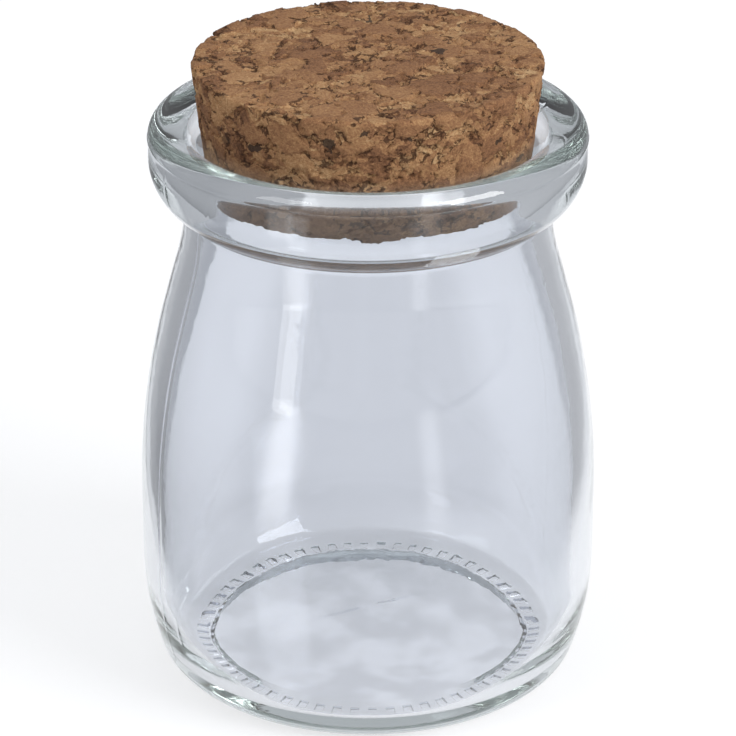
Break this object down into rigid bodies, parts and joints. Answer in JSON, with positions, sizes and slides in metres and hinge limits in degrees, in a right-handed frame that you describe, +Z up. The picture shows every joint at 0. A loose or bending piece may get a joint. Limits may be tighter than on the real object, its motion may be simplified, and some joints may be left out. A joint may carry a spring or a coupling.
{
  "type": "corked glass jar",
  "caption": "Empty round jar of thick clear glass with a soft shoulder, a heavy rolled rim and a dimpled standing ring, closed by a tapered stopper of pressed cork.",
  "frame": {"origin": "centre of the base, on the plane the jar stands on", "axes": "+Z up along the jar's axis to the cork; the jar is round, so X and Y are free"},
  "size_m": [0.06, 0.06, 0.0846],
  "materials": {
    "soda_lime_glass": "clear pressed glass, fire polished",
    "pressed_cork": "pressed cork granules, ground to a taper, matt"
  },
  "bodies": {
    "root": {"glass_jar": "soda_lime_glass", "cork_stopper": "pressed_cork"}
  },
  "joints": []
}
